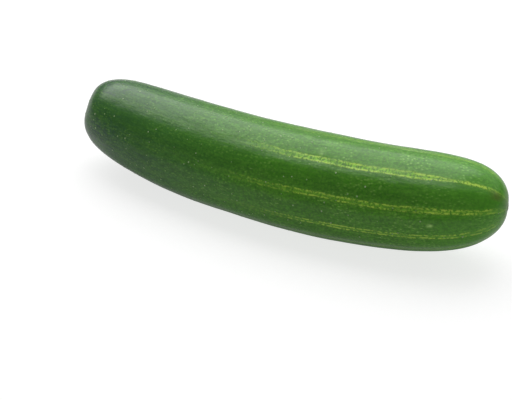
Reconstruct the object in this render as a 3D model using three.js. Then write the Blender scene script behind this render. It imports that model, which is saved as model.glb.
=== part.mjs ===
// A ridge cucumber lying on its side, in millimetres, with +Z up.
// +X runs from the stem end to the blossom end, and the bow of the body swings toward -Y.
// Along the body, u runs from -1 at the stem end to 1 at the blossom end.
// Around the body, an angle of 0 looks along -Y and a quarter turn looks up.
import * as THREE from 'three';
import { mergeVertices } from 'three/addons/utils/BufferGeometryUtils.js';

// Length and girth
const LENGTH = 190;
const HALF_LENGTH = LENGTH / 2;
const MID_RADIUS = 20.6;
const GIRTH = { slope: 0.047, waist: -0.094, lean: 0.045, shoulders: 0.403 };
const STEM_BLUNTNESS = 4.5;
const BLOSSOM_BLUNTNESS = 3.55;

// The bow, and how the underside leaves the table toward both ends
const BOW = 11.4;
const BOW_SKEW = 1.2;
const END_RISE = 3;
const UNDERSIDE_REACH = 0.9;
const FLAT_DEPTH = 0.9;

// Nine furrows run from end to end. They stand closer together on one side of the fruit.
const FURROWS = 9;
const FURROW_START = THREE.MathUtils.degToRad(-7.9);
const FURROW_SPREAD = THREE.MathUtils.degToRad(14.2);
const FURROW_SPREAD_AT = THREE.MathUtils.degToRad(152);
const FURROW_DEPTH_AT_STEM = 0.2;
const FURROW_DEPTH_AT_BLOSSOM = 0.45;
const FURROW_SHARPNESS = 1.5;
const FURROW_FADE = 3;

// The section is slightly three-sided, and the skin is slightly uneven
const THREE_SIDES = 0.008;
const UNEVENNESS = 0.18;

// The stem end: a pressed shoulder, a hollow and the round scar of the stalk
const PRESS = { depth: 2.3, reach: 6.3, place: -0.965, angle: THREE.MathUtils.degToRad(27) };
const PRESS_TOWARD_AXIS = 0.75;
const STEM_HOLLOW = { depth: 1.3, reach: 5.5 };
const STEM_SCAR = { height: 0.7, radius: 3.2, edge: 0.5 };

// The blossom end: a shallow pit round a small button
const BLOSSOM_PIT = { depth: 0.5, reach: 4 };
const BLOSSOM_BUTTON = { height: 0.6, radius: 1.7, edge: 0.45 };

const SEGMENTS_AROUND = 10 * FURROWS;
const SEGMENTS_ALONG = 60;
const DENSER_ENDS = 0.45;
const MERGE_DISTANCE = 0.0001;

function girth(u) {
  return 1 + GIRTH.slope * u + GIRTH.waist * u ** 2 + GIRTH.lean * u ** 3 + GIRTH.shoulders * u ** 4;
}

function radiusAt(u) {
  const bluntness = u < 0 ? STEM_BLUNTNESS : BLOSSOM_BLUNTNESS;
  const closing = Math.sqrt(Math.max(0, 1 - Math.abs(u) ** bluntness));
  return MID_RADIUS * girth(u) * closing;
}

function axisPoint(u) {
  const settled = UNDERSIDE_REACH * Math.tanh(u / UNDERSIDE_REACH);
  const y = -BOW * (1 - u ** 2) + BOW_SKEW * (u ** 3 - u);
  const z = MID_RADIUS * girth(settled) + END_RISE * u ** 2 - FLAT_DEPTH;
  return new THREE.Vector3(HALF_LENGTH * u, y, z);
}

function axisDirection(u) {
  const slope = (2 * BOW * u + BOW_SKEW * (3 * u ** 2 - 1)) / HALF_LENGTH;
  return new THREE.Vector3(1, slope, 0).normalize();
}

// The direction straight out of the axis at one angle round it
function outward(u, angle) {
  const along = axisDirection(u);
  const side = new THREE.Vector3(along.y, -along.x, 0);
  return side.multiplyScalar(Math.cos(angle)).add(new THREE.Vector3(0, 0, Math.sin(angle)));
}

// The angle of a place in the run of furrows: furrow number k lies at a turn of k / FURROWS
function furrowAngle(turn) {
  return FURROW_START + turn + FURROW_SPREAD * Math.sin(turn - FURROW_SPREAD_AT);
}

function furrowDepth(u, turn) {
  const toBlossom = THREE.MathUtils.smoothstep(u, -0.9, 0.7);
  const depth = THREE.MathUtils.lerp(FURROW_DEPTH_AT_STEM, FURROW_DEPTH_AT_BLOSSOM, toBlossom);
  const profile = (0.5 + 0.5 * Math.cos(FURROWS * turn)) ** FURROW_SHARPNESS;
  return depth * profile * (radiusAt(u) / MID_RADIUS) ** FURROW_FADE;
}

function unevenness(u, angle) {
  const fade = 1 - u ** 4;
  const slow = Math.sin(7 * u + 1.3) * Math.cos(2 * angle + 3 * u);
  return UNEVENNESS * fade * slow + THREE_SIDES * radiusAt(u) * Math.cos(3 * angle);
}

function bell(distance, reach) {
  return Math.exp(-((distance / reach) ** 2));
}

function disc(distance, radius, edge) {
  return 1 - THREE.MathUtils.smoothstep(distance, radius - edge, radius + edge);
}

// How far the skin is pushed along +X round the middle of each end
function endRelief(u) {
  const fromMiddle = radiusAt(u);
  if (u < 0) {
    const hollow = STEM_HOLLOW.depth * bell(fromMiddle, STEM_HOLLOW.reach);
    return hollow - STEM_SCAR.height * disc(fromMiddle, STEM_SCAR.radius, STEM_SCAR.edge);
  }
  const pit = BLOSSOM_PIT.depth * bell(fromMiddle, BLOSSOM_PIT.reach);
  return BLOSSOM_BUTTON.height * disc(fromMiddle, BLOSSOM_BUTTON.radius, BLOSSOM_BUTTON.edge) - pit;
}

// The shoulder of the stem end is pressed in, about one point of the skin
const pressOut = outward(PRESS.place, PRESS.angle);
const pressCentre = axisPoint(PRESS.place).addScaledVector(pressOut, radiusAt(PRESS.place));
const pressDirection = pressOut
  .multiplyScalar(-Math.sqrt(1 - PRESS_TOWARD_AXIS ** 2))
  .addScaledVector(axisDirection(PRESS.place), PRESS_TOWARD_AXIS);

function skinPoint(u, turn) {
  const angle = furrowAngle(turn);
  const distance = radiusAt(u) - furrowDepth(u, turn) + unevenness(u, angle);
  const point = axisPoint(u).addScaledVector(outward(u, angle), distance);
  const pressed = Math.exp(-point.distanceToSquared(pressCentre) / (2 * PRESS.reach ** 2));
  point.addScaledVector(pressDirection, PRESS.depth * pressed);
  point.x += endRelief(u);
  point.z = Math.max(0, point.z);
  return point;
}

// A unit sphere's grid is laid over the fruit, with its rings closer together at both ends
function skinGeometry() {
  const geometry = new THREE.SphereGeometry(1, SEGMENTS_AROUND, SEGMENTS_ALONG);
  const position = geometry.getAttribute('position');
  const grid = geometry.getAttribute('uv');
  for (let i = 0; i < position.count; i += 1) {
    const ring = grid.getY(i);
    const spaced = ring - (DENSER_ENDS / (2 * Math.PI)) * Math.sin(2 * Math.PI * ring);
    const point = skinPoint(-Math.cos(Math.PI * spaced), -2 * Math.PI * grid.getX(i));
    position.setXYZ(i, point.x, point.y, point.z);
  }
  geometry.deleteAttribute('normal');
  geometry.deleteAttribute('uv');
  const skin = mergeVertices(geometry, MERGE_DISTANCE);
  skin.computeBoundingBox();
  const middle = skin.boundingBox.getCenter(new THREE.Vector3());
  skin.translate(-middle.x, -middle.y, 0);
  skin.computeVertexNormals();
  return skin;
}

const skinMaterial = new THREE.MeshStandardMaterial({ color: 0x3d7326, roughness: 0.42, metalness: 0 });
const cucumber = new THREE.Mesh(skinGeometry(), skinMaterial);
cucumber.name = 'cucumber';

const model = new THREE.Group();
model.add(cucumber);

export default model;
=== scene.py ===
"""A ridge cucumber on a white studio floor.

The skin is a grid of nodes that follows one formula: a bowed axis, a girth, blunt ends and nine furrows.
The small spine scars are scattered on that skin, and each end has its own scar piece.
Along the body, u runs from -1 at the stem end to 1 at the blossom end. All sizes are in metres.
"""

import math

import bpy
from bpy.props import FloatProperty, FloatVectorProperty, IntProperty, PointerProperty
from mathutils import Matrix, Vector, noise


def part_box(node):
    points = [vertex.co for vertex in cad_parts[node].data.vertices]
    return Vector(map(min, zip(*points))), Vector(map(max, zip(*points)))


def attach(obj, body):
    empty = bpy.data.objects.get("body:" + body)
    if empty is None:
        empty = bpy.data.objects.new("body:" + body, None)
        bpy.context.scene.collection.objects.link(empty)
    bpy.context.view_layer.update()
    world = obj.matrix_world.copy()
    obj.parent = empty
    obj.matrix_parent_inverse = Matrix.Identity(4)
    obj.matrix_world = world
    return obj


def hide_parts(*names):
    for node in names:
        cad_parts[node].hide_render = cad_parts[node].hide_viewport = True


bl_info = {
    "name": "Ridge cucumber",
    "version": (1, 0, 0),
    "blender": (4, 5, 0),
    "location": "View3D > Sidebar > Cucumber",
    "description": "Grows a bowed, furrowed cucumber with its scars, and sets up its studio",
    "category": "Add Mesh",
}

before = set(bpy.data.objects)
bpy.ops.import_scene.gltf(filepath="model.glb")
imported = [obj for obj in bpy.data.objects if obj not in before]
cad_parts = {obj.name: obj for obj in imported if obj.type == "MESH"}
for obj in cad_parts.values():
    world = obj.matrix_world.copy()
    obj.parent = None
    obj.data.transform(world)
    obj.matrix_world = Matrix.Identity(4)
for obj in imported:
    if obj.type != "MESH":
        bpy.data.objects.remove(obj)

NODE = "cucumber"
BODY = "root"
SKIN_PIECE = "cucumber_skin"
SKIN_MAP = "skin_map"
MM = 0.001
FULL_TURN = 2.0 * math.pi
FURROWS = 9


def furrow_turn(number):
    """The turn round the body at which a furrow lies, counted from 0. A fraction is between two of them."""
    return FULL_TURN * number / FURROWS


# The shape of the body, apart from the sizes that a user would change.

SHAPE_INPUTS = (
    "Length", "Mid radius", "Slope", "Waist", "Lean", "Shoulders", "Stem bluntness",
    "Blossom bluntness", "Bow", "Bow skew", "End rise", "Flat depth", "Stem furrow", "Blossom furrow",
)
GRID_INPUTS = ("Segments", "Rings")
FURROW_START = math.radians(-7.9)
FURROW_SPREAD = math.radians(14.2)
FURROW_SPREAD_AT = math.radians(152)
FURROW_SHARPNESS = 1.5
FURROW_FADE = 3.0
FURROW_GROWTH = (-0.9, 0.7)
THREE_SIDES = 0.008
UNEVENNESS = 0.18 * MM
WAVE_ALONG = 7.0
WAVE_SHIFT = 1.3
WAVE_TWIST = 3.0
UNDERSIDE_REACH = 0.9
PRESS_DEPTH = 2.3 * MM
PRESS_REACH = 6.3 * MM
PRESS_PLACE = -0.965
PRESS_ANGLE = math.radians(27)
PRESS_TOWARD_AXIS = 0.75
STEM_HOLLOW_DEPTH = 1.3 * MM
STEM_HOLLOW_REACH = 5.5 * MM
BLOSSOM_PIT_DEPTH = 0.5 * MM
BLOSSOM_PIT_REACH = 4 * MM
DENSER_MIDDLE = 0.3
MERGE_DISTANCE = 0.002 * MM
LUMPS = 0.5 * MM
GRAIN = 0.07 * MM
FEWEST_FACES = 1000

# How many patches of each noise lie on a metre: along the body, and in both directions across it.
# The floor's paper is the same in all directions.

LUMP_SCALE = (45.0, 90.0, 90.0)
GRAIN_SCALE = (600.0, 800.0, 800.0)
WANDER_SCALE = (45.0, 60.0, 60.0)
WOBBLE_SCALE = (300.0, 500.0, 500.0)
DASH_SCALE = (1050.0, 950.0, 950.0)
GAP_SCALE = (170.0, 260.0, 260.0)
RUNG_SCALE = (1300.0, 900.0, 900.0)
SPOT_SCALE = (620.0, 900.0, 900.0)
PATCH_SCALE = (90.0, 130.0, 130.0)
STREAK_SCALE = (110.0, 700.0, 700.0)
HAIR_SCALE = (420.0, 1700.0, 1700.0)
PAPER_SCALE = 400.0

# The detail and roughness of a noise.

SMOOTH_NOISE = (1.0, 0.5)
SOFT_NOISE = (2.0, 0.5)
CRISP_NOISE = (2.0, 0.6)
RICH_NOISE = (3.0, 0.6)
PAPER_NOISE = (3.0, 0.5)

# The marks are drawn on a straightened body. A turn is an angle round it, and along is from 0 to 1.

STRAIGHT_LENGTH = 190 * MM
ROLL = 20.6 * MM
SUNNY_TURN = furrow_turn(7.0)
SUNNY_NARROWNESS = 8.0
LINED_TURN = furrow_turn(8.0)
LINED_SIDE = (0.0, 0.72)
LINES_FAR_SIDE = 0.25
# A darker lane just below the upper stripe is painted shade along the lower edge of the sheen, laid over
# the darker green between two stripes.
SHADE_LANE_TURN = furrow_turn(7.4)
SHADE_LANE_EDGE = (0.93, 0.99)

# The two lines of a furrow. Distances across a furrow are shares of the step to the next one.

LINE_SPREAD = 0.056
LINE_WIDTH = 0.026
LINE_WANDER = 0.14
LINE_WOBBLE = 0.055
LEAST_CLOSING = 0.12
CLOSING_BLUNTNESS = 4.0
SUNNY_SPREAD = 0.1
SUNNY_PINCH = 0.9
PINCH_ALONG = (0.83, 0.91)
LINES_BEGIN = (0.42, 0.68)
LINES_AT_STEM = 0.04
LINES_END = (0.96, 0.988)
LINES_AT_TIP = 0.25
DASH_RANGE = (0.49, 0.56)
FULLER_LINES = 0.07
FULLER_SUNNY_LINES = 0.04
GAP_RANGE = (0.34, 0.52)
LINE_IN_GAP = 0.55
BAND_EDGE = (-0.03, 0.04)
RUNG_RANGE = (0.34, 0.66)
WASH_WIDTH = 0.15
WASH_ALONG = (0.1, 0.7)

# Stipple, streaks and grain, as ranges of their noise.

SPOT_RANGE = (0.42, 0.12)
PATCH_RANGE = (0.36, 0.62)
STREAK_RANGE = (0.38, 0.62)
GRAIN_RANGE = (0.3, 0.7)

# The three small blemishes.

RUBBED_TURN = furrow_turn(7.2)
RUBBED_EDGE = (0.980, 1.0)
RUBBED_ALONG = 0.977
RUBBED_LENGTH = 0.010
NICK_TURN = furrow_turn(8.5)
NICK_ALONG = 0.867
NICK_LENGTH = 0.0048
NICK_WIDTH = 0.040
NICK_STRENGTH = 1.3
SCUFF_TURN = furrow_turn(6.8)
SCUFF_ALONG = 0.630
SCUFF_LENGTH = 0.0055
SCUFF_WIDTH = 0.052
SCUFF_STRENGTH = 0.35
RAGGED_RANGE = (-0.16, 0.02)
RAGGED_LEAST = 0.45

# Colours that are mixed into those of the finish.

CLOUD_GREEN = (0.045, 0.17, 0.014)
STREAK_GREEN = (0.20, 0.55, 0.05)
PORE_GREEN = (0.026, 0.12, 0.008)
STIPPLE_GREEN = (0.29, 0.62, 0.10)
WASH_GREEN = (0.15, 0.40, 0.03)
# Painted shade for the lane below the upper stripe.
SHADE_LANE_GREEN = (0.035, 0.16, 0.007)
# Lighter toward the blossom end: partly the tip's own paler green, partly painted light that falls on the
# tip from the side.
TIP_GREEN_AND_SIDE_LIGHT = (0.14, 0.56, 0.03)
BAND_GREEN = (0.24, 0.64, 0.035)
SUNNY_BAND_GREEN = (0.34, 0.78, 0.05)
SCRATCH_GREEN = (0.58, 0.98, 0.26)
RUBBED_BROWN = (0.17, 0.11, 0.04)
SPECK_SHADE = (0.26, 0.46, 0.15)
CORK_SHADE = (0.11, 0.10, 0.04)
CORK_LIGHT = (0.42, 0.36, 0.22)
FLOOR_GREY = (0.33, 0.33, 0.33)
FLOOR_PALE = (0.37, 0.37, 0.37)
WHITE = (1.0, 1.0, 1.0, 1.0)

# Where along the body some of these colours come in, and how much of each covers those before.

BODY_ALONG = (0.03, 0.62)
CLOUD_SHARE = 0.30
STREAK_ALONG = (0.0, 1.0)
STREAK_SHARES = (0.3, 0.7)
PORE_SHARE = 0.62
STIPPLE_ALONG = (0.1, 0.9)
STIPPLE_SHARES = (0.32, 0.95)
WASH_SHARE = 0.22
SHADE_LANE_SHARE = 0.42
# Where the tip's paler green and its painted side light come in.
BLOSSOM_ALONG = (0.78, 1.0)
BLOSSOM_SHARES = (0.0, 0.32)
BAND_SHARE = 0.6
SUNNY_BAND_SHARE = 0.4
LINE_SHARE = 0.97
DRY_ALONG = (0.985, 0.998)
DRY_RANGE = (0.1, 0.7)
DRY_SHARE = 0.2
RUBBED_SHARE = 0.4
CORK_SHADE_SHARE = 0.8
CORK_LIGHT_SHARE = 0.35

# The grain, gloss and relief of each material. A bump is its strength and its depth.

SKIN_GRAIN = {"Pore_scale": 1100.0, "Cloud_scale": 55.0}
SPECK_GRAIN = {"Pore_scale": 2500.0, "Cloud_scale": 160.0}
CORK_GRAIN = {"Pore_scale": 1800.0, "Cloud_scale": 420.0}
SKIN_ROUGHNESS = 0.17
PORE_ROUGHNESS = 0.06
CLOUD_ROUGHNESS = 0.04
SKIN_IOR = 1.45
SKIN_SPECULAR = 0.55
SKIN_BUMP = (0.45, 0.12 * MM)
STREAK_RELIEF = 0.3
SPECK_ROUGHNESS = 0.4
CORK_ROUGHNESS = 0.62
DULLER_PORES = 0.2
CORK_BUMP = (0.6, 0.15 * MM)
FLOOR_ROUGHNESS = 0.8
FLOOR_SPECULAR = 0.2

# The spine scars. Their number is given for a square decimetre and scattered by the square metre.

SCAR_SEED = 7
SPECK_RADIUS = 0.33 * MM
SPECK_FLATNESS = (1.0, 1.0, 0.35)
SPECK_SIDES = 10
SPECK_RINGS = 6
SPECK_SIZES = (0.5, 1.15)
SPECK_APART = 2.2 * MM
SPECKS_FADE = (-0.3, 0.9)
SPECKS_AT_BLOSSOM = 0.25
SPECKS_ABOVE = (1 * MM, 4 * MM)
PER_SQUARE_METRE = 100.0

# The scars at the ends: name, end, radius, thickness and number of small pits.

END_SCARS = (
    ("stem_scar", -1, 3.3 * MM, 0.9 * MM, 8),
    ("blossom_scar", 1, 1.5 * MM, 0.28 * MM, 5),
)
GREEN_RIM = 0.9
SCAR_SIDES = 72
SCAR_RINGS = 18
SCAR_WAVES = 0.06
SCAR_RIPPLES = 0.04
SCAR_SQUARENESS = 4
SCAR_RIM_SHARPNESS = 6
SCAR_DOME = 0.5
SCAR_LIP = 0.12
SCAR_LIP_AT = 0.82
SCAR_LIP_WIDTH = 0.1
SCAR_BUMPS = 0.12
SCAR_BUMP_SCALE = 2200
SCAR_PITS = 0.16
SCAR_PITS_AT = 0.55
SCAR_PITS_WIDTH = 0.14
SCAR_FOOT = 0.8
SCAR_UNDERSIDE = ((1.0, -0.5), (0.7, -SCAR_FOOT), (0.3, -SCAR_FOOT))
SAME_PLACE = 1e-6

# The studio.

FLOOR_HALF = 3.0
CEILING_PLACE = (-0.30, 2.00, 0.90)
CEILING_SIZE = (4.4, 4.4)
SOFTBOX_PLACE = (-0.68, 0.59, 0.85)
SOFTBOX_SIZE = (1.9, 1.2)
SOFTBOX_TURN = math.radians(-11)
SENSOR_WIDTH = 36
NEAREST_SEEN = 0.01
FARTHEST_SEEN = 20


class CucumberShape(bpy.types.PropertyGroup):
    """The sizes that a user would change."""

    length: FloatProperty(
        name="Length", description="Straight length from end to end",
        default=190 * MM, unit="LENGTH")
    mid_radius: FloatProperty(
        name="Mid radius", description="Radius at half the length",
        default=20.6 * MM, unit="LENGTH")
    slope: FloatProperty(
        name="Slope", description="How much the girth grows toward the blossom end", default=0.047)
    waist: FloatProperty(
        name="Waist", description="How much the girth changes away from the middle", default=-0.094)
    lean: FloatProperty(
        name="Lean", description="How far the fullest part moves toward the blossom end", default=0.045)
    shoulders: FloatProperty(
        name="Shoulders", description="How full the body is near both ends", default=0.403)
    stem_bluntness: FloatProperty(
        name="Stem bluntness", description="Higher is a squarer stem end", default=4.5)
    blossom_bluntness: FloatProperty(
        name="Blossom bluntness", description="Higher is a squarer blossom end", default=3.55)
    bow: FloatProperty(
        name="Bow", description="How far the middle swings aside",
        default=11.4 * MM, unit="LENGTH")
    bow_skew: FloatProperty(
        name="Bow skew", description="How uneven the bow is",
        default=1.2 * MM, unit="LENGTH")
    end_rise: FloatProperty(
        name="End rise", description="How far both ends rise off the table",
        default=3 * MM, unit="LENGTH")
    flat_depth: FloatProperty(
        name="Flat depth", description="How far the underside is flattened where it rests",
        default=0.9 * MM, unit="LENGTH")
    stem_furrow: FloatProperty(
        name="Stem furrows", description="Depth of the furrows at the stem end",
        default=0.2 * MM, unit="LENGTH")
    blossom_furrow: FloatProperty(
        name="Blossom furrows", description="Depth of the furrows at the blossom end",
        default=0.45 * MM, unit="LENGTH")
    segments: IntProperty(
        name="Segments", description="Faces round the body", default=FURROWS * 40)
    rings: IntProperty(
        name="Rings", description="Faces along the body", default=264)


class CucumberFinish(bpy.types.PropertyGroup):
    """The colours of the skin and the number of its scars."""

    stem_green: FloatVectorProperty(
        name="Stem green", description="The skin near the stem end",
        subtype="COLOR", size=3, default=(0.036, 0.088, 0.078))
    body_green: FloatVectorProperty(
        name="Body green", description="The skin from the middle to the blossom end",
        subtype="COLOR", size=3, default=(0.094, 0.385, 0.010))
    stripe_green: FloatVectorProperty(
        name="Stripe green", description="The broken stripes in the furrows",
        subtype="COLOR", size=3, default=(0.64, 0.97, 0.11))
    speck_green: FloatVectorProperty(
        name="Speck green", description="The pale spine scars",
        subtype="COLOR", size=3, default=(0.50, 0.66, 0.36))
    cork_brown: FloatVectorProperty(
        name="Cork brown", description="The dry scars at both ends",
        subtype="COLOR", size=3, default=(0.27, 0.25, 0.11))
    spine_scars: IntProperty(
        name="Spine scars", description="How many tiny scars are scattered at most, per square decimetre",
        default=240)


class CucumberStudio(bpy.types.PropertyGroup):
    """Where the camera stands and how strong the lights are."""

    aim: FloatVectorProperty(
        name="Aim", description="The point in the middle of the picture",
        subtype="TRANSLATION", size=3, default=(3.57 * MM, -22.94 * MM, 19.1 * MM))
    distance: FloatProperty(
        name="Distance", description="From the camera to the aim point",
        default=550.1 * MM, unit="LENGTH")
    azimuth: FloatProperty(
        name="Azimuth", description="How far the camera has walked round the object",
        subtype="ANGLE", default=math.radians(29.11))
    elevation: FloatProperty(
        name="Elevation", description="How far the camera looks down",
        subtype="ANGLE", default=math.radians(30))
    lens: FloatProperty(
        name="Lens", description="Focal length in millimetres on a 36 mm sensor", default=100)
    ceiling_watts: FloatProperty(
        name="Ceiling light", description="Power of the wide round light above and behind", default=25)
    softbox_watts: FloatProperty(
        name="Softbox", description="Power of the oblong light above and behind the stem end", default=12)
    floor_glow: FloatProperty(
        name="Floor glow", description="How brightly the white light table shines", default=0.19)
    floor_white: FloatProperty(
        name="Floor white", description="How much whiter the light table looks to the camera", default=0.56)
    room_light: FloatProperty(
        name="Room light", description="Strength of the even light from all round", default=0.16)


class Term:
    """A number inside a node tree, so that a formula in nodes reads as it does on paper."""

    def __init__(self, tree, socket):
        self.tree = tree
        self.socket = socket

    def math(self, operation, *values):
        """Adds a node that does this sum with the values. Gives its result."""
        node = self.tree.nodes.new("ShaderNodeMath")
        node.operation = operation
        for socket, value in zip(node.inputs, values):
            feed(self.tree, socket, value)
        return Term(self.tree, node.outputs[0])

    def __add__(self, other):
        return self.math("ADD", self, other)

    def __radd__(self, other):
        return self.math("ADD", other, self)

    def __sub__(self, other):
        return self.math("SUBTRACT", self, other)

    def __rsub__(self, other):
        return self.math("SUBTRACT", other, self)

    def __mul__(self, other):
        return self.math("MULTIPLY", self, other)

    def __rmul__(self, other):
        return self.math("MULTIPLY", other, self)

    def __truediv__(self, other):
        return self.math("DIVIDE", self, other)

    def __rtruediv__(self, other):
        return self.math("DIVIDE", other, self)

    def __pow__(self, other):
        return self.math("POWER", self, other)

    def __neg__(self):
        return self.math("MULTIPLY", self, -1.0)

    def __abs__(self):
        return self.math("ABSOLUTE", self)

    def __lt__(self, other):
        return self.math("LESS_THAN", self, other)


def feed(tree, socket, value):
    """Sets a node's input, from another node's output or to a plain value."""
    if isinstance(value, Term):
        tree.links.new(value.socket, socket)
    else:
        socket.default_value = value


def sine(angle):
    """The sine of a term."""
    return angle.math("SINE", angle)


def cosine(angle):
    """The cosine of a term."""
    return angle.math("COSINE", angle)


def root(value):
    """The square root of a term."""
    return value.math("SQRT", value)


def larger(value, other):
    """The larger of a term and another value."""
    return value.math("MAXIMUM", value, other)


def ramp(value, low, high, start=0.0, end=1.0):
    """Runs smoothly from start, where the value is low, to end, where it is high."""
    node = value.tree.nodes.new("ShaderNodeMapRange")
    node.interpolation_type = "SMOOTHSTEP"
    for socket, given in zip(node.inputs, (value, low, high, start, end)):
        feed(value.tree, socket, given)
    return Term(value.tree, node.outputs[0])


def bell(value, reach):
    """1 where the value is 0, and fading away past the reach."""
    share = value / reach
    return value.math("EXPONENT", -(share * share))


def output_of(tree, kind, output=0):
    """One output of a new node that needs no input."""
    return Term(tree, tree.nodes.new(kind).outputs[output])


def constant(tree, value):
    """A plain number as a term."""
    term = output_of(tree, "ShaderNodeValue")
    term.socket.default_value = value
    return term


def split(tree, vector):
    """The three parts of a vector."""
    node = tree.nodes.new("ShaderNodeSeparateXYZ")
    feed(tree, node.inputs[0], vector)
    return tuple(Term(tree, output) for output in node.outputs)


def join(tree, x, y, z):
    """A vector from its three parts."""
    node = tree.nodes.new("ShaderNodeCombineXYZ")
    for socket, value in zip(node.inputs, (x, y, z)):
        feed(tree, socket, value)
    return Term(tree, node.outputs[0])


def stretch(tree, vector, scale):
    """The vector times a scale on each axis."""
    node = tree.nodes.new("ShaderNodeVectorMath")
    node.operation = "MULTIPLY"
    feed(tree, node.inputs[0], vector)
    node.inputs[1].default_value = scale
    return Term(tree, node.outputs[0])


def cloud(tree, vector, scale, detail, roughness):
    """Even noise between about 0.2 and 0.8."""
    node = tree.nodes.new("ShaderNodeTexNoise")
    feed(tree, node.inputs["Vector"], vector)
    feed(tree, node.inputs["Scale"], scale)
    node.inputs["Detail"].default_value = detail
    node.inputs["Roughness"].default_value = roughness
    return Term(tree, node.outputs[0])


def drawn_out(tree, place, scales, detail, roughness):
    """Noise with its own number of patches per metre on each axis."""
    return cloud(tree, stretch(tree, place, scales), 1.0, detail, roughness)


def cells(tree, vector):
    """The distance from the middle of the nearest cell, in shares of a cell."""
    node = tree.nodes.new("ShaderNodeTexVoronoi")
    feed(tree, node.inputs["Vector"], vector)
    node.inputs["Scale"].default_value = 1.0
    return Term(tree, node.outputs["Distance"])


def tint(tree, share, colour, other):
    """Mixes two colours: the first where the share is 0 and the other where it is 1."""
    node = tree.nodes.new("ShaderNodeMix")
    node.data_type = "RGBA"
    feed(tree, node.inputs[0], share)
    for socket, value in zip(node.inputs[6:8], (colour, other)):
        feed(tree, socket, value if isinstance(value, Term) else (*value, 1.0))
    return Term(tree, node.outputs[2])


def new_tree(name, kind, inputs, outputs):
    """A node group with named sockets. Gives the tree, its inputs by name and its output node."""
    tree = bpy.data.node_groups.new(name, kind)
    for label, socket_kind in inputs:
        tree.interface.new_socket(label, in_out="INPUT", socket_type=socket_kind)
    for label, socket_kind in outputs:
        tree.interface.new_socket(label, in_out="OUTPUT", socket_type=socket_kind)
    entry = tree.nodes.new("NodeGroupInput")
    given = {label: Term(tree, entry.outputs[label]) for label, _ in inputs}
    return tree, given, tree.nodes.new("NodeGroupOutput")


def step(tree, kind, geometry, **inputs):
    """Adds a geometry node that works on this geometry. Gives the geometry that it makes."""
    node = tree.nodes.new(kind)
    feed(tree, node.inputs[0], geometry)
    for name, value in inputs.items():
        feed(tree, node.inputs[name], value)
    return Term(tree, node.outputs[0])


def finish_tree(tree, geometry, material, out):
    """Ends a geometry tree with real faces and their material."""
    real = step(tree, "GeometryNodeRealizeInstances", geometry)
    painted = step(tree, "GeometryNodeSetMaterial", real, Material=material)
    feed(tree, out.inputs[0], painted)


def link_object(name, data):
    """A new object in the scene for this mesh, light or camera."""
    made = bpy.data.objects.new(name, data)
    bpy.context.scene.collection.objects.link(made)
    return made


def evaluate(name, tree, values, start=None):
    """Runs a geometry tree with these input values on a mesh and gives the result as a plain object."""
    mesh = start.data.copy() if start else bpy.data.meshes.new(name + "_start")
    source = link_object(name + "_source", mesh)
    modifier = source.modifiers.new("Shape", "NODES")
    modifier.node_group = tree
    for item in tree.interface.items_tree:
        if item.in_out == "INPUT" and item.name in values:
            modifier[item.identifier] = values[item.name]
    source.update_tag()
    graph = bpy.context.evaluated_depsgraph_get()
    graph.update()
    result = bpy.data.meshes.new_from_object(source.evaluated_get(graph))
    bpy.data.objects.remove(source)
    bpy.data.meshes.remove(mesh)
    result.name = name
    return link_object(name, result)


def keep(piece):
    """Makes a finished piece ride on the body and stand for the solid."""
    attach(piece, BODY)
    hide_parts(NODE)


# The body's formula. Each function takes the tree's named inputs as "v".

def girth(v, u):
    """How thick the body is, in shares of its middle radius."""
    square = u * u
    rising = v["Slope"] * u + v["Lean"] * u * square
    return 1.0 + rising + v["Waist"] * square + v["Shoulders"] * square * square


def radius_at(v, u):
    """The radius, which closes to nothing at both blunt ends."""
    at_stem = u < 0.0
    bluntness = v["Blossom bluntness"] + (v["Stem bluntness"] - v["Blossom bluntness"]) * at_stem
    closing = root(larger(1.0 - abs(u) ** bluntness, 0.0))
    return v["Mid radius"] * girth(v, u) * closing


def axis_point(v, u):
    """A point of the bowed axis, high enough for the underside to rest on the table."""
    settled = u.math("TANH", u / UNDERSIDE_REACH) * UNDERSIDE_REACH
    x = v["Length"] * 0.5 * u
    y = v["Bow"] * (u * u - 1.0) + v["Bow skew"] * (u * u * u - u)
    z = v["Mid radius"] * girth(v, settled) + v["End rise"] * u * u - v["Flat depth"]
    return x, y, z


def axis_direction(v, u):
    """The way in which the axis runs, seen from above."""
    slope = (2.0 * v["Bow"] * u + v["Bow skew"] * (3.0 * u * u - 1.0)) / (v["Length"] * 0.5)
    size = root(1.0 + slope * slope)
    return 1.0 / size, slope / size


def outward(v, u, angle):
    """The way from the axis to the skin at an angle round the body."""
    along_x, along_y = axis_direction(v, u)
    level = cosine(angle)
    return along_y * level, -along_x * level, sine(angle)


def furrow_depth(v, u, turn, radius):
    """How deep the furrows are: narrow hollows that deepen toward the blossom end."""
    depth = ramp(u, *FURROW_GROWTH, v["Stem furrow"], v["Blossom furrow"])
    profile = (0.5 + 0.5 * cosine(turn * float(FURROWS))) ** FURROW_SHARPNESS
    return depth * profile * (radius / v["Mid radius"]) ** FURROW_FADE


def unevenness(u, angle, radius):
    """A slow wave over the body, and its faintly three-sided section."""
    slow = sine(WAVE_ALONG * u + WAVE_SHIFT) * cosine(2.0 * angle + WAVE_TWIST * u)
    fade = 1.0 - u * u * u * u
    return UNEVENNESS * fade * slow + THREE_SIDES * radius * cosine(3.0 * angle)


def end_relief(u, radius):
    """How far the skin is drawn in along the axis: a hollow at the stem and a pit at the blossom."""
    hollow = STEM_HOLLOW_DEPTH * bell(radius, STEM_HOLLOW_REACH)
    pit = BLOSSOM_PIT_DEPTH * bell(radius, BLOSSOM_PIT_REACH)
    at_stem = u < 0.0
    return hollow * at_stem - pit * (1.0 - at_stem)


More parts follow.
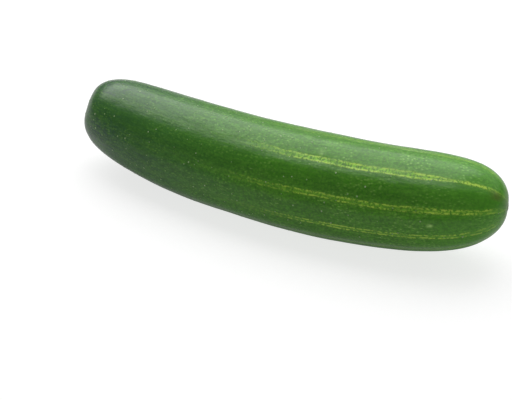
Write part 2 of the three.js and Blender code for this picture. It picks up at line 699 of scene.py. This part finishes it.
def press_in(tree, v, point):
    """Moves a point by the pressed shoulder of the stem end."""
    place = constant(tree, PRESS_PLACE)
    away = outward(v, place, constant(tree, PRESS_ANGLE))
    along = (*axis_direction(v, place), 0.0)
    radius = radius_at(v, place)
    gap = [p - (c + a * radius) for p, c, a in zip(point, axis_point(v, place), away)]
    square = gap[0] * gap[0] + gap[1] * gap[1] + gap[2] * gap[2]
    push = PRESS_DEPTH * square.math("EXPONENT", square * (-0.5 / PRESS_REACH ** 2))
    sideways = math.sqrt(1 - PRESS_TOWARD_AXIS ** 2)
    return [p + push * (t * PRESS_TOWARD_AXIS - a * sideways) for p, t, a in zip(point, along, away)]


def denser_middle(ring):
    """Moves the rings, which run from 0 to 1, so that they lie closer together in the middle."""
    return ring + sine(ring * FULL_TURN) * (DENSER_MIDDLE / FULL_TURN)


def bent_grid(tree, v):
    """A flat grid that is bent round the axis and closed at its seam and at both ends."""
    grid = tree.nodes.new("GeometryNodeMeshGrid")
    feed(tree, grid.inputs["Vertices X"], v["Segments"] + 1.0)
    feed(tree, grid.inputs["Vertices Y"], v["Rings"] + 1.0)
    across, along, _ = split(tree, output_of(tree, "GeometryNodeInputPosition"))
    turn = (across + 0.5) * -FULL_TURN
    u = -cosine(denser_middle(along + 0.5) * math.pi)

    radius = radius_at(v, u)
    angle = FURROW_START + turn + FURROW_SPREAD * sine(turn - FURROW_SPREAD_AT)
    distance = radius - furrow_depth(v, u, turn, radius) + unevenness(u, angle, radius)
    point = [c + a * distance for c, a in zip(axis_point(v, u), outward(v, u, angle))]
    point = press_in(tree, v, point)
    point[0] = point[0] + end_relief(u, radius)

    mapped = tree.nodes.new("GeometryNodeStoreNamedAttribute")
    mapped.data_type = "FLOAT2"
    mapped.domain = "CORNER"
    mapped.inputs["Name"].default_value = SKIN_MAP
    feed(tree, mapped.inputs["Geometry"], Term(tree, grid.outputs["Mesh"]))
    feed(tree, mapped.inputs["Value"], Term(tree, grid.outputs["UV Map"]))
    flat = Term(tree, mapped.outputs[0])
    bent = step(tree, "GeometryNodeSetPosition", flat, Position=join(tree, *point))
    return step(tree, "GeometryNodeMergeByDistance", bent, Distance=MERGE_DISTANCE)


def fine_relief(tree, v, skin):
    """Raises soft lumps and a fine grain on the skin, and presses flat what would sink into the table."""
    place = output_of(tree, "GeometryNodeInputPosition")
    lumps = (drawn_out(tree, place, LUMP_SCALE, *SOFT_NOISE) - 0.5) * v["Lumps"]
    grain = (drawn_out(tree, place, GRAIN_SCALE, *SOFT_NOISE) - 0.5) * v["Grain"]
    raised = tree.nodes.new("ShaderNodeVectorMath")
    raised.operation = "SCALE"
    feed(tree, raised.inputs[0], output_of(tree, "GeometryNodeInputNormal"))
    feed(tree, raised.inputs["Scale"], lumps + grain)
    relief = step(tree, "GeometryNodeSetPosition", skin, Offset=Term(tree, raised.outputs[0]))
    x, y, z = split(tree, output_of(tree, "GeometryNodeInputPosition"))
    return step(tree, "GeometryNodeSetPosition", relief, Position=join(tree, x, y, larger(z, 0.0)))


def skin_tree():
    """The grid that is bent into the skin, with its fine relief."""
    sizes = [(name, "NodeSocketFloat") for name in (*SHAPE_INPUTS, "Lumps", "Grain")]
    whole = [(name, "NodeSocketInt") for name in GRID_INPUTS]
    tree, v, out = new_tree(
        "Skin shape", "GeometryNodeTree",
        [*sizes, *whole, ("Material", "NodeSocketMaterial")], [("Geometry", "NodeSocketGeometry")])
    skin = fine_relief(tree, v, bent_grid(tree, v))
    smooth = step(tree, "GeometryNodeSetShadeSmooth", skin)
    finish_tree(tree, smooth, v["Material"], out)
    return tree


def shape_values(shape):
    """The tree's named inputs, from the properties of the same names."""
    names = (*SHAPE_INPUTS, *GRID_INPUTS)
    return {name: getattr(shape, name.lower().replace(" ", "_")) for name in names}


# Materials

def grain_group():
    """Fine pores and slow cloudiness, which every material of the fruit has."""
    name = "Plant grain"
    if name in bpy.data.node_groups:
        return bpy.data.node_groups[name]
    tree, v, out = new_tree(
        name, "ShaderNodeTree",
        [("Pore scale", "NodeSocketFloat"), ("Cloud scale", "NodeSocketFloat")],
        [("Pores", "NodeSocketFloat"), ("Clouds", "NodeSocketFloat"), ("Height", "NodeSocketFloat")])
    place = output_of(tree, "ShaderNodeTexCoord", "Object")
    pores = cloud(tree, place, v["Pore scale"], *RICH_NOISE)
    clouds = cloud(tree, place, v["Cloud scale"], *SOFT_NOISE)
    feed(tree, out.inputs["Pores"], ramp(pores, *GRAIN_RANGE))
    feed(tree, out.inputs["Clouds"], ramp(clouds, *GRAIN_RANGE))
    feed(tree, out.inputs["Height"], pores)
    return tree


def use_group(tree, group, **values):
    """Places a node group with these inputs. Gives its outputs by name."""
    node = tree.nodes.new("ShaderNodeGroup")
    node.node_tree = group
    for name, value in values.items():
        feed(tree, node.inputs[name.replace("_", " ")], value)
    return {output.name: Term(tree, output) for output in node.outputs}


def skin_place(tree):
    """Where the skin is painted: across and along as shares, the turn, and a place on the straight body."""
    uv = tree.nodes.new("ShaderNodeUVMap")
    uv.uv_map = SKIN_MAP
    across, ring, _ = split(tree, Term(tree, uv.outputs[0]))
    along = 0.5 - 0.5 * cosine(denser_middle(ring) * math.pi)
    turn = across * FULL_TURN
    straight = join(tree, along * STRAIGHT_LENGTH, cosine(turn) * ROLL, sine(turn) * ROLL)
    return across, along, turn, straight


def furrow_lines(tree, v, place, sunniest, wobble):
    """The distance from the furrow's middle, its two broken lines, and the paler rungs between them."""
    across, along, turn, straight = place
    wander = drawn_out(tree, straight, WANDER_SCALE, *SOFT_NOISE) - 0.5
    lobes = across * float(FURROWS) + 0.5 + wander * LINE_WANDER
    offset = abs(lobes.math("FRACT", lobes) - 0.5)
    closing = root(larger(1.0 - abs(2.0 * along - 1.0) ** CLOSING_BLUNTNESS, LEAST_CLOSING))
    pinch = 1.0 + sunniest * (SUNNY_SPREAD - ramp(along, *PINCH_ALONG) * SUNNY_PINCH)
    spread = (v["Line spread"] * pinch + wobble * LINE_WOBBLE) / closing
    line = bell(offset - spread, v["Line width"] / closing)

    reach = ramp(along, *LINES_BEGIN, LINES_AT_STEM, 1.0) * ramp(along, *LINES_END, 1.0, LINES_AT_TIP)
    lined = reach * ramp(cosine(turn - LINED_TURN), *LINED_SIDE, LINES_FAR_SIDE, 1.0)
    dash = drawn_out(tree, straight, DASH_SCALE, *CRISP_NOISE)
    fewest, fullest = DASH_RANGE
    broken = ramp(dash, fewest - reach * (FULLER_LINES + sunniest * FULLER_SUNNY_LINES), fullest)
    gaps = ramp(drawn_out(tree, straight, GAP_SCALE, *SMOOTH_NOISE), *GAP_RANGE, LINE_IN_GAP, 1.0)
    inside = 1.0 - ramp(offset - spread, *BAND_EDGE)
    rungs = ramp(drawn_out(tree, straight, RUNG_SCALE, *SMOOTH_NOISE), *RUNG_RANGE)
    return offset, line * broken * gaps * lined, inside * rungs * gaps * lined


def blemishes(along, turn, wobble):
    """The rubbed brown patch near the blossom end, and the two pale scratches."""
    rubbed = bell(along - RUBBED_ALONG, RUBBED_LENGTH) * ramp(cosine(turn - RUBBED_TURN), *RUBBED_EDGE)
    nick = bell(along - NICK_ALONG, NICK_LENGTH) * bell(turn - NICK_TURN, NICK_WIDTH)
    scuff = bell(along - SCUFF_ALONG, SCUFF_LENGTH) * bell(turn - SCUFF_TURN, SCUFF_WIDTH)
    ragged = ramp(wobble, *RAGGED_RANGE, RAGGED_LEAST, 1.0)
    return rubbed, (nick * NICK_STRENGTH + scuff * SCUFF_STRENGTH) * ragged


def stipple_and_streaks(tree, straight):
    """Round dots in loose patches, and fine streaks along the body."""
    dots = ramp(cells(tree, stretch(tree, straight, SPOT_SCALE)), *SPOT_RANGE)
    patches = ramp(drawn_out(tree, straight, PATCH_SCALE, *SOFT_NOISE), *PATCH_RANGE)
    streaks = drawn_out(tree, straight, STREAK_SCALE, *RICH_NOISE)
    hairs = drawn_out(tree, straight, HAIR_SCALE, *CRISP_NOISE)
    return dots * patches, ramp(streaks * 0.5 + hairs * 0.5, *STREAK_RANGE)


def marks_group():
    """Where the skin's marks lie: paired broken lines along the furrows, stipple, streaks, blemishes, and a
    lane of painted shade below the upper stripe.
    """
    names = (
        "Along", "Sunny side", "Lines", "Band", "Wash", "Stipple", "Streaks", "Rubbed", "Shade lane", "Scratches")
    tree, v, out = new_tree(
        "Furrow marks", "ShaderNodeTree",
        [("Line spread", "NodeSocketFloat"), ("Line width", "NodeSocketFloat")],
        [(name, "NodeSocketFloat") for name in names])
    place = skin_place(tree)
    across, along, turn, straight = place
    sunniest = (0.5 + 0.5 * cosine(turn - SUNNY_TURN)) ** SUNNY_NARROWNESS
    wobble = drawn_out(tree, straight, WOBBLE_SCALE, *SOFT_NOISE) - 0.5
    offset, lines, band = furrow_lines(tree, v, place, sunniest, wobble)
    wash = bell(offset, WASH_WIDTH) * ramp(along, *WASH_ALONG)
    stipple, streaks = stipple_and_streaks(tree, straight)
    rubbed, scratches = blemishes(along, turn, wobble)
    # Painted shade: a darker lane just below the upper stripe, where the sheen ends.
    shade_lane = ramp(cosine(turn - SHADE_LANE_TURN), *SHADE_LANE_EDGE)
    values = (along, sunniest, lines, band, wash, stipple, streaks, rubbed, shade_lane, scratches)
    for name, value in zip(names, values):
        feed(tree, out.inputs[name], value)
    return tree


def principled(name):
    """A new material. Gives it with its tree and its shader node."""
    material = bpy.data.materials.new(name)
    material.use_nodes = True
    tree = material.node_tree
    return material, tree, tree.nodes["Principled BSDF"]


def add_bump(tree, shader, height, strength, distance):
    """Gives the shader a fine relief."""
    bump = tree.nodes.new("ShaderNodeBump")
    bump.inputs["Strength"].default_value = strength
    bump.inputs["Distance"].default_value = distance
    feed(tree, bump.inputs["Height"], height)
    tree.links.new(bump.outputs[0], shader.inputs["Normal"])


def skin_material(finish):
    """Glossy green skin, coat by coat: each share says how much of its colour lies over those before. One
    coat is painted shade below the upper stripe, and one is partly painted light on the blossom end.
    """
    material, tree, shader = principled("cucumber_skin")
    marks = use_group(tree, marks_group(), Line_spread=LINE_SPREAD, Line_width=LINE_WIDTH)
    grain = use_group(tree, grain_group(), **SKIN_GRAIN)
    along = marks["Along"]
    band_green = tint(tree, marks["Sunny side"], BAND_GREEN, SUNNY_BAND_GREEN)
    dry = ramp(along, *DRY_ALONG) * ramp(grain["Clouds"], *DRY_RANGE) * DRY_SHARE
    coats = (
        (ramp(along, *BODY_ALONG), tuple(finish.body_green)),
        (grain["Clouds"] * CLOUD_SHARE, CLOUD_GREEN),
        (marks["Streaks"] * ramp(along, *STREAK_ALONG, *STREAK_SHARES), STREAK_GREEN),
        (grain["Pores"] * PORE_SHARE, PORE_GREEN),
        (marks["Stipple"] * ramp(along, *STIPPLE_ALONG, *STIPPLE_SHARES), STIPPLE_GREEN),
        (marks["Wash"] * WASH_SHARE, WASH_GREEN),
        # Painted shade along the lower edge of the sheen, below the upper stripe.
        (marks["Shade lane"] * SHADE_LANE_SHARE, SHADE_LANE_GREEN),
        # Paler toward the blossom end: the tip's own lighter green together with painted light from the
        # side.
        (ramp(along, *BLOSSOM_ALONG, *BLOSSOM_SHARES), TIP_GREEN_AND_SIDE_LIGHT),
        (marks["Band"] * (BAND_SHARE + marks["Sunny side"] * SUNNY_BAND_SHARE), band_green),
        (marks["Lines"] * LINE_SHARE, tuple(finish.stripe_green)),
        (marks["Scratches"], SCRATCH_GREEN),
        (dry + marks["Rubbed"] * RUBBED_SHARE, RUBBED_BROWN),
    )
    colour = tuple(finish.stem_green)
    for share, coat in coats:
        colour = tint(tree, share, colour, coat)
    feed(tree, shader.inputs["Base Color"], colour)
    roughness = SKIN_ROUGHNESS + grain["Pores"] * PORE_ROUGHNESS + grain["Clouds"] * CLOUD_ROUGHNESS
    feed(tree, shader.inputs["Roughness"], roughness)
    shader.inputs["IOR"].default_value = SKIN_IOR
    shader.inputs["Specular IOR Level"].default_value = SKIN_SPECULAR
    add_bump(tree, shader, grain["Height"] + marks["Streaks"] * STREAK_RELIEF, *SKIN_BUMP)
    return material


def speck_material(finish):
    """The pale, dull tissue of the spine scars."""
    material, tree, shader = principled("spine_scar")
    grain = use_group(tree, grain_group(), **SPECK_GRAIN)
    colour = tint(tree, grain["Clouds"], tuple(finish.speck_green), SPECK_SHADE)
    feed(tree, shader.inputs["Base Color"], colour)
    feed(tree, shader.inputs["Roughness"], SPECK_ROUGHNESS + grain["Pores"] * DULLER_PORES)
    return material


def cork_material(finish, name):
    """Dry, corky tissue that turns green toward the skin."""
    material, tree, shader = principled(name)
    grain = use_group(tree, grain_group(), **CORK_GRAIN)
    cork = tint(tree, grain["Clouds"] * CORK_SHADE_SHARE, tuple(finish.cork_brown), CORK_SHADE)
    rough = tint(tree, grain["Pores"] * CORK_LIGHT_SHARE, cork, CORK_LIGHT)
    rim = tree.nodes.new("ShaderNodeAttribute")
    rim.attribute_name = "rim"
    edge = Term(tree, rim.outputs["Fac"]) * GREEN_RIM
    feed(tree, shader.inputs["Base Color"], tint(tree, edge, rough, tuple(finish.body_green)))
    feed(tree, shader.inputs["Roughness"], CORK_ROUGHNESS + grain["Pores"] * DULLER_PORES)
    add_bump(tree, shader, grain["Height"], *CORK_BUMP)
    return material


# Pieces

def centre_on_solid(mesh):
    """Moves the skin sideways and lengthwise so that its box has the same middle as the solid's."""
    low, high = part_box(NODE)
    for axis in range(2):
        values = [vertex.co[axis] for vertex in mesh.vertices]
        move = (low[axis] + high[axis] - min(values) - max(values)) / 2
        for vertex in mesh.vertices:
            vertex.co[axis] += move


class CUCUMBER_OT_skin(bpy.types.Operator):
    """Grow the skin of the whole fruit"""

    bl_idname = "cucumber.skin"
    bl_label = "Grow skin"

    def execute(self, context):
        values = shape_values(context.scene.cucumber_shape)
        values["Lumps"] = LUMPS
        values["Grain"] = GRAIN
        values["Material"] = skin_material(context.scene.cucumber_finish)
        skin = evaluate(SKIN_PIECE, skin_tree(), values)
        if len(skin.data.polygons) < FEWEST_FACES:
            raise RuntimeError("the skin tree made no surface")
        centre_on_solid(skin.data)
        keep(skin)
        return {"FINISHED"}


def speck_points(tree, v):
    """Scattered points, most of them toward the stem end and none where the skin rests."""
    x, _, z = split(tree, output_of(tree, "GeometryNodeInputPosition"))
    fading = ramp(x / v["Half length"], *SPECKS_FADE, 1.0, SPECKS_AT_BLOSSOM)
    scatter = tree.nodes.new("GeometryNodeDistributePointsOnFaces")
    scatter.distribute_method = "POISSON"
    scatter.inputs["Distance Min"].default_value = SPECK_APART
    feed(tree, scatter.inputs["Mesh"], v["Geometry"])
    feed(tree, scatter.inputs["Density Max"], v["Density"])
    feed(tree, scatter.inputs["Density Factor"], fading * ramp(z, *SPECKS_ABOVE))
    feed(tree, scatter.inputs["Seed"], v["Seed"])
    return Term(tree, scatter.outputs["Points"]), Term(tree, scatter.outputs["Rotation"])


def speck_dome(tree, v):
    """One low, smooth dome."""
    ball = tree.nodes.new("GeometryNodeMeshUVSphere")
    ball.inputs["Segments"].default_value = SPECK_SIDES
    ball.inputs["Rings"].default_value = SPECK_RINGS
    feed(tree, ball.inputs["Radius"], v["Radius"])
    low = step(tree, "GeometryNodeTransform", Term(tree, ball.outputs["Mesh"]), Scale=SPECK_FLATNESS)
    return step(tree, "GeometryNodeSetShadeSmooth", low)


def spine_tree():
    """Small domes scattered on the skin, each of its own size."""
    tree, v, out = new_tree(
        "Spine scars", "GeometryNodeTree",
        [("Geometry", "NodeSocketGeometry"), ("Density", "NodeSocketFloat"),
         ("Seed", "NodeSocketInt"), ("Radius", "NodeSocketFloat"),
         ("Half length", "NodeSocketFloat"), ("Material", "NodeSocketMaterial")],
        [("Geometry", "NodeSocketGeometry")])
    points, rotation = speck_points(tree, v)
    size = tree.nodes.new("FunctionNodeRandomValue")
    size.data_type = "FLOAT"
    size.inputs[2].default_value, size.inputs[3].default_value = SPECK_SIZES
    feed(tree, size.inputs["Seed"], v["Seed"])
    domes = step(
        tree, "GeometryNodeInstanceOnPoints", points,
        Instance=speck_dome(tree, v), Rotation=rotation, Scale=Term(tree, size.outputs[1]))
    finish_tree(tree, domes, v["Material"], out)
    return tree


class CUCUMBER_OT_spine_scars(bpy.types.Operator):
    """Scatter the tiny pale scars where the young fruit had its spines"""

    bl_idname = "cucumber.spine_scars"
    bl_label = "Scatter spine scars"

    def execute(self, context):
        finish = context.scene.cucumber_finish
        values = {
            "Density": finish.spine_scars * PER_SQUARE_METRE,
            "Seed": SCAR_SEED,
            "Radius": SPECK_RADIUS,
            "Half length": context.scene.cucumber_shape.length / 2,
            "Material": speck_material(finish),
        }
        scars = evaluate("spine_scars", spine_tree(), values, bpy.data.objects[SKIN_PIECE])
        if not scars.data.polygons:
            raise RuntimeError("no spine scar was scattered")
        keep(scars)
        return {"FINISHED"}


def scar_height(share):
    """The top of an end scar, in shares of its thickness: a low dome with a slightly raised lip."""
    lip = math.exp(-((share - SCAR_LIP_AT) / SCAR_LIP_WIDTH) ** 2)
    return SCAR_DOME * (1 - share ** SCAR_SQUARENESS) + SCAR_LIP * lip


def scar_points(middle, away, radius, thickness, bundles):
    """Rings from the middle outward and back below, then both middles, with the share of rim of each."""
    side = away.orthogonal().normalized()
    up = away.cross(side)
    shares = [ring / SCAR_RINGS for ring in range(1, SCAR_RINGS + 1)]
    points, rims = [], []
    for share, height in (*((s, scar_height(s)) for s in shares), *SCAR_UNDERSIDE):
        for k in range(SCAR_SIDES):
            a = FULL_TURN * k / SCAR_SIDES
            wobble = 1 + SCAR_WAVES * math.sin(3 * a + 1) + SCAR_RIPPLES * math.sin(7 * a)
            reach = radius * share * wobble
            flat = side * math.cos(a) * reach + up * math.sin(a) * reach
            bumps = SCAR_BUMPS * thickness * noise.noise(flat * SCAR_BUMP_SCALE) * share
            ring = math.exp(-((share - SCAR_PITS_AT) / SCAR_PITS_WIDTH) ** 2)
            pits = SCAR_PITS * thickness * math.cos(bundles * a) * ring
            points.append(middle + flat + away * (thickness * height + bumps - pits))
            rims.append(share ** SCAR_RIM_SHARPNESS)
    points.append(middle + away * (thickness * scar_height(0.0)))
    points.append(middle - away * SCAR_FOOT * thickness)
    return points, [*rims, 0.0, 0.0]


def scar_faces():
    """Faces between the rings of an end scar, and a fan round each of its middles."""
    rings = SCAR_RINGS + len(SCAR_UNDERSIDE)
    top = rings * SCAR_SIDES
    bottom = top + 1
    last = top - SCAR_SIDES
    faces = []
    for k in range(SCAR_SIDES):
        n = (k + 1) % SCAR_SIDES
        faces.append((top, k, n))
        for a in range(0, last, SCAR_SIDES):
            b = a + SCAR_SIDES
            faces.append((a + k, b + k, b + n, a + n))
        faces.append((last + k, bottom, last + n))
    return faces


def scar_piece(name, middle, away, radius, thickness, bundles, material):
    """A round, slightly domed disc with an uneven rim and a ring of small pits."""
    points, rims = scar_points(middle, away, radius, thickness, bundles)
    mesh = bpy.data.meshes.new(name)
    mesh.from_pydata(points, [], scar_faces())
    rim = mesh.attributes.new("rim", "FLOAT", "POINT")
    rim.data.foreach_set("value", rims)
    mesh.shade_smooth()
    mesh.materials.append(material)
    keep(link_object(name, mesh))


def pole_of(mesh, end):
    """The point where the skin's rings close at one end, and the way it faces."""
    layer = mesh.attributes[SKIN_MAP].data
    wanted = 0.0 if end < 0 else 1.0
    for loop in mesh.loops:
        if abs(layer[loop.index].vector[1] - wanted) < SAME_PLACE:
            vertex = mesh.vertices[loop.vertex_index]
            return vertex.co.copy(), vertex.normal.normalized()
    raise RuntimeError("the skin has no closed end")


class CUCUMBER_OT_end_scars(bpy.types.Operator):
    """Close both ends with the scar of the stalk and the scar of the blossom"""

    bl_idname = "cucumber.end_scars"
    bl_label = "Add end scars"

    def execute(self, context):
        finish = context.scene.cucumber_finish
        skin = bpy.data.objects[SKIN_PIECE].data
        for name, end, radius, thickness, bundles in END_SCARS:
            middle, away = pole_of(skin, end)
            scar_piece(name, middle, away, radius, thickness, bundles, cork_material(finish, name))
        return {"FINISHED"}


# The stage

def floor_material(glow, white):
    """A white light table: it shines a little, and looks whiter to the camera than it shines."""
    material, tree, shader = principled("studio_floor")
    seen = output_of(tree, "ShaderNodeLightPath", "Is Camera Ray")
    shader.inputs["Emission Color"].default_value = WHITE
    feed(tree, shader.inputs["Emission Strength"], seen * white + glow)
    paper = cloud(tree, output_of(tree, "ShaderNodeTexCoord", "Object"), PAPER_SCALE, *PAPER_NOISE)
    feed(tree, shader.inputs["Base Color"], tint(tree, paper, FLOOR_GREY, FLOOR_PALE))
    shader.inputs["Roughness"].default_value = FLOOR_ROUGHNESS
    shader.inputs["Specular IOR Level"].default_value = FLOOR_SPECULAR
    return material


def add_floor(studio):
    """The white light table that the fruit lies on."""
    mesh = bpy.data.meshes.new("floor")
    corners = [(x * FLOOR_HALF, y * FLOOR_HALF, 0) for x, y in ((-1, -1), (1, -1), (1, 1), (-1, 1))]
    mesh.from_pydata(corners, [], [(0, 1, 2, 3)])
    mesh.materials.append(floor_material(studio.floor_glow, studio.floor_white))
    floor = link_object("floor", mesh)


def add_light(name, shape, location, turn, size, watts):
    """A flat light that looks straight down."""
    light = bpy.data.lights.new(name, "AREA")
    light.shape = shape
    light.size = size[0]
    if shape == "RECTANGLE":
        light.size_y = size[1]
    light.energy = watts
    lamp = link_object(name, light)
    lamp.location = location
    lamp.rotation_euler = (0, 0, turn)


def add_room(scene, strength):
    """Even white light from all round, shown in plain colours."""
    world = bpy.data.worlds.new("room")
    world.use_nodes = True
    background = world.node_tree.nodes["Background"]
    background.inputs["Color"].default_value = WHITE
    background.inputs["Strength"].default_value = strength
    scene.world = world
    scene.view_settings.view_transform = "Standard"


def add_camera(scene, studio):
    """The camera, at its distance from the aim point and looking at it."""
    camera = bpy.data.cameras.new("camera")
    camera.lens = studio.lens
    camera.sensor_width = SENSOR_WIDTH
    camera.clip_start = NEAREST_SEEN
    camera.clip_end = FARTHEST_SEEN
    eye = link_object("camera", camera)
    side = Vector((math.sin(studio.azimuth), -math.cos(studio.azimuth), 0))
    back = side * math.cos(studio.elevation) + Vector((0, 0, math.sin(studio.elevation)))
    eye.location = Vector(studio.aim) + back * studio.distance
    eye.rotation_euler = (-back).to_track_quat("-Z", "Y").to_euler()
    scene.camera = eye


class CUCUMBER_OT_stage(bpy.types.Operator):
    """Set the pale floor, the soft lights and the camera"""

    bl_idname = "cucumber.stage"
    bl_label = "Set stage"

    def execute(self, context):
        studio = context.scene.cucumber_studio
        add_floor(studio)
        add_light("ceiling", "DISK", CEILING_PLACE, 0.0, CEILING_SIZE, studio.ceiling_watts)
        add_light("softbox", "RECTANGLE", SOFTBOX_PLACE, SOFTBOX_TURN, SOFTBOX_SIZE, studio.softbox_watts)
        add_room(context.scene, studio.room_light)
        add_camera(context.scene, studio)
        return {"FINISHED"}


class VIEW3D_PT_cucumber(bpy.types.Panel):
    """Lists the steps that make the cucumber, and its sizes."""

    bl_label = "Cucumber"
    bl_idname = "VIEW3D_PT_cucumber"
    bl_space_type = "VIEW_3D"
    bl_region_type = "UI"
    bl_category = "Cucumber"

    def draw(self, context):
        for maker in STEPS:
            self.layout.operator(maker.bl_idname)
        for group in (context.scene.cucumber_shape, context.scene.cucumber_finish,
                      context.scene.cucumber_studio):
            for name in group.__annotations__:
                self.layout.prop(group, name)


STEPS = (CUCUMBER_OT_skin, CUCUMBER_OT_spine_scars, CUCUMBER_OT_end_scars, CUCUMBER_OT_stage)
CLASSES = (CucumberShape, CucumberFinish, CucumberStudio, *STEPS, VIEW3D_PT_cucumber)


def register():
    """Registers the classes and hangs their settings on the scene."""
    for made in CLASSES:
        bpy.utils.register_class(made)
    bpy.types.Scene.cucumber_shape = PointerProperty(type=CucumberShape)
    bpy.types.Scene.cucumber_finish = PointerProperty(type=CucumberFinish)
    bpy.types.Scene.cucumber_studio = PointerProperty(type=CucumberStudio)


def unregister():
    """Takes back what register did."""
    del bpy.types.Scene.cucumber_studio
    del bpy.types.Scene.cucumber_finish
    del bpy.types.Scene.cucumber_shape
    for made in reversed(CLASSES):
        bpy.utils.unregister_class(made)


def main():
    """Makes everything in order."""
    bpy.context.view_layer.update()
    register()
    bpy.ops.cucumber.skin()
    bpy.ops.cucumber.spine_scars()
    bpy.ops.cucumber.end_scars()
    bpy.ops.cucumber.stage()
    bpy.context.view_layer.update()


if __name__ == "__main__":
    main()
